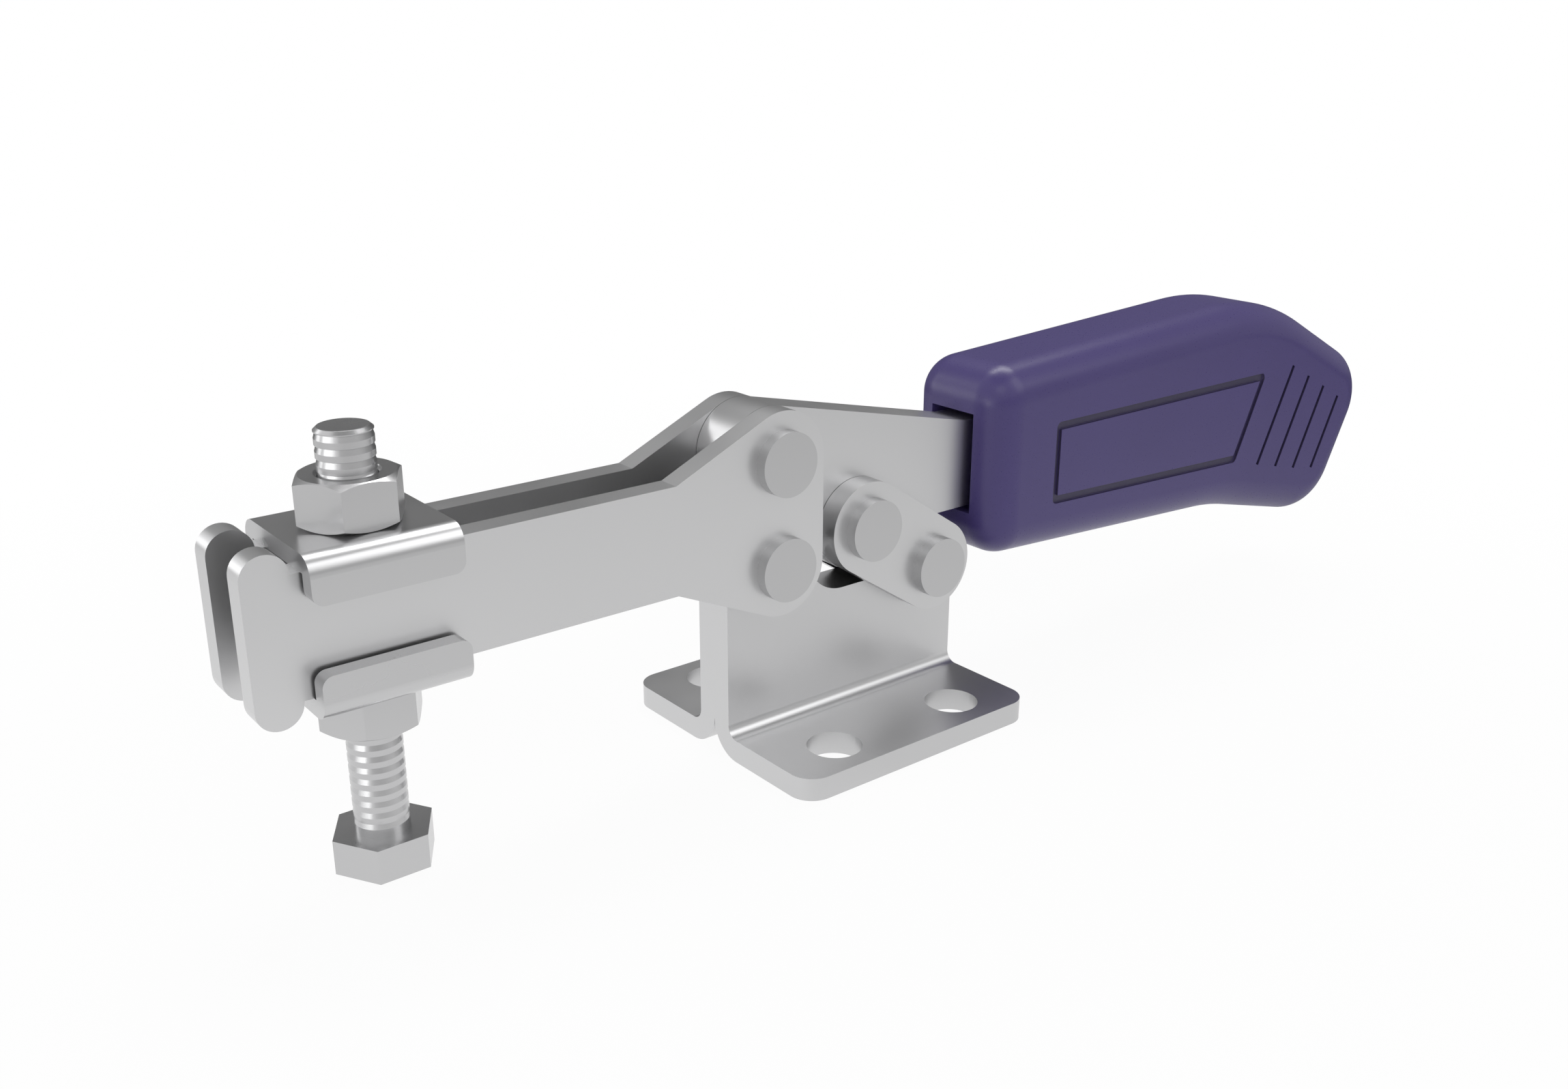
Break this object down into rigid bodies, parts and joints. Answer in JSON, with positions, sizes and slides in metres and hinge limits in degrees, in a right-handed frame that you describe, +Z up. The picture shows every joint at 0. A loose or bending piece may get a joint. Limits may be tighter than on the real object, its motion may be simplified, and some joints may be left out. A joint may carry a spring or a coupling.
{
  "type": "horizontal toggle clamp",
  "caption": "Small toggle clamp with an over-centre linkage, an open clamping arm with an adjustable hex bolt, a flanged base with mounting holes and a moulded lever grip.",
  "frame": {"origin": "centre of the mounting hole pattern on the underside of the base", "axes": "+X along the handle away from the clamping arm, +Z up out of the mounting surface, +Y across the clamp"},
  "size_m": [0.1879, 0.0372, 0.0504],
  "materials": {
    "pressed_steel": "tumbled satin zinc plate",
    "lever_steel": "tumbled satin zinc plate",
    "rivet_steel": "satin, turned heads",
    "bush_steel": "ground and greased",
    "washer_steel": "tumbled satin zinc plate",
    "fastener_steel": "satin zinc plate",
    "grip_plastic": "matt moulded plastic, dark violet"
  },
  "bodies": {
    "base": {"base_bracket_near": "pressed_steel", "base_bracket_far": "pressed_steel"},
    "arm": {"arm_plate_near": "pressed_steel", "arm_plate_far": "pressed_steel", "arm_rivet": "rivet_steel", "arm_bush": "bush_steel", "lever_rivet": "rivet_steel", "lever_bush": "bush_steel"},
    "lever": {"lever": "lever_steel", "grip": "grip_plastic", "elbow_bush": "bush_steel"},
    "link": {"link_near": "pressed_steel", "link_far": "pressed_steel", "elbow_rivet": "rivet_steel", "link_rivet": "rivet_steel", "link_bush": "bush_steel"},
    "carriage": {"washer_top": "washer_steel", "washer_bottom": "washer_steel"},
    "nut_top": {"nut_top": "fastener_steel"},
    "nut_bottom": {"nut_bottom": "fastener_steel"},
    "bolt": {"clamp_bolt": "fastener_steel"}
  },
  "joints": [
    {"name": "arm_pivot", "type": "hinge", "parent": "base", "child": "arm", "pos_m": [-0.01288, 0, 0.02516], "axis": [0, 1, 0], "range_deg": [0, 85]},
    {"name": "lever_pivot", "type": "hinge", "parent": "arm", "child": "lever", "pos_m": [-0.01288, 0, 0.03846], "axis": [0, 1, 0], "range_deg": [-144.35, 0]},
    {"name": "link_pivot", "type": "hinge", "parent": "base", "child": "link", "pos_m": [0.01307, 0, 0.01943], "axis": [0, 1, 0], "range_deg": [0, 74.6]},
    {"name": "carriage_slide", "type": "slide", "parent": "arm", "child": "carriage", "axis": [1, 0, 0], "range_m": [-0.0009, 0.022]},
    {"name": "bolt_travel", "type": "slide", "parent": "carriage", "child": "bolt", "axis": [0, 0, 1], "range_m": [-0.0045, 0.0035]},
    {"name": "nut_top_turn", "type": "hinge", "parent": "carriage", "child": "nut_top", "pos_m": [-0.06388, 0, 0.04306], "axis": [0, 0, 1], "range_deg": [-1260.5, 1620.5]},
    {"name": "nut_bottom_turn", "type": "hinge", "parent": "carriage", "child": "nut_bottom", "pos_m": [-0.06388, 0, 0.02056], "axis": [0, 0, 1], "range_deg": [-1260.5, 1620.5]}
  ],
  "couplings": [
    {"joint": "lever_pivot", "follows": "arm_pivot", "ratio": -1.6979},
    {"joint": "link_pivot", "follows": "arm_pivot", "ratio": 0.87728},
    {"joint": "nut_top_turn", "follows": "bolt_travel", "rad_per_m": -6283.2},
    {"joint": "nut_bottom_turn", "follows": "bolt_travel", "rad_per_m": -6283.2}
  ]
}
